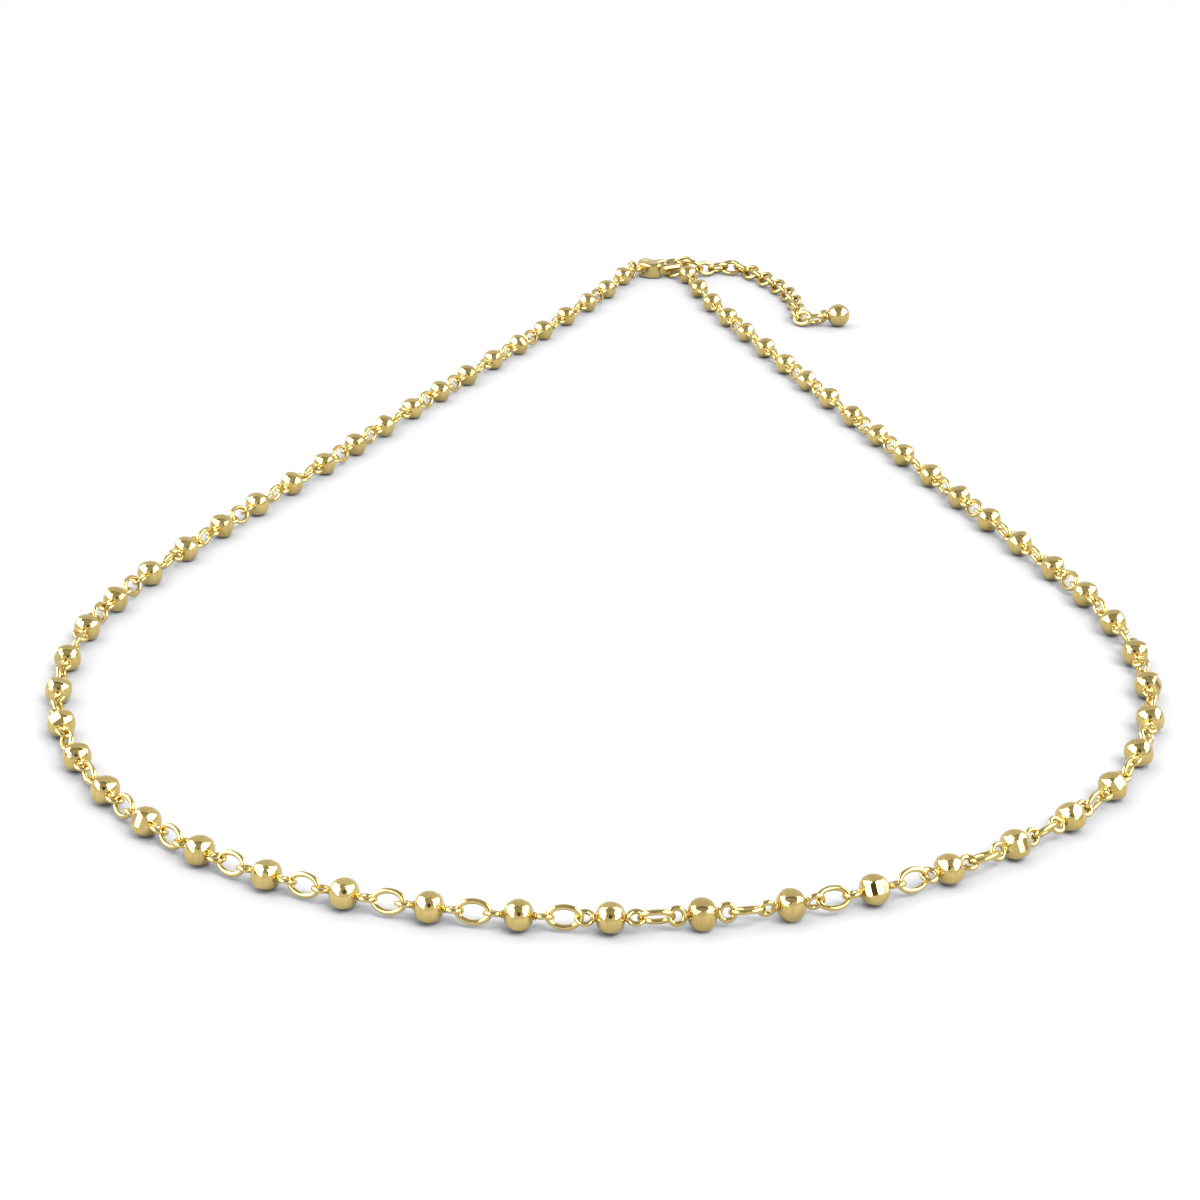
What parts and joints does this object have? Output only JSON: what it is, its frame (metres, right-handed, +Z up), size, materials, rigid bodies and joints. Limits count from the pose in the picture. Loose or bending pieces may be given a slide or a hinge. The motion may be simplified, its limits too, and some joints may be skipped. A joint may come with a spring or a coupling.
{
  "type": "beaded necklace",
  "caption": "Gold ball-bead chain necklace laid in a closed loop, with open oval links between beads, a lobster clasp and a short extender ending in a ball.",
  "frame": {"origin": "on the surface that the necklace lies on, under the middle of the box round the whole loop", "axes": "+Z up, +Y from the middle of the front towards the clasp, +X to the side that the extender lies on"},
  "size_m": [0.1024, 0.1848, 0.003],
  "materials": {
    "gold": "polished light gold plating",
    "clasp_gold": "polished light gold plating",
    "ring_gold": "polished light gold plating"
  },
  "bodies": {
    "necklace": {"chain_left": "gold", "chain_right": "gold", "clasp_body": "clasp_gold", "tail_ring": "ring_gold", "hook_ring": "ring_gold", "extender_chain": "gold", "extender_ball": "gold"},
    "lever": {"clasp_lever": "clasp_gold"}
  },
  "joints": [
    {"name": "lever_hinge", "type": "hinge", "parent": "necklace", "child": "lever", "pos_m": [0.00631, 0.08922, 0.0011], "axis": [0, 0, -1], "range_deg": [0, 20], "stiffness_Nm_per_rad": 0.00001}
  ]
}
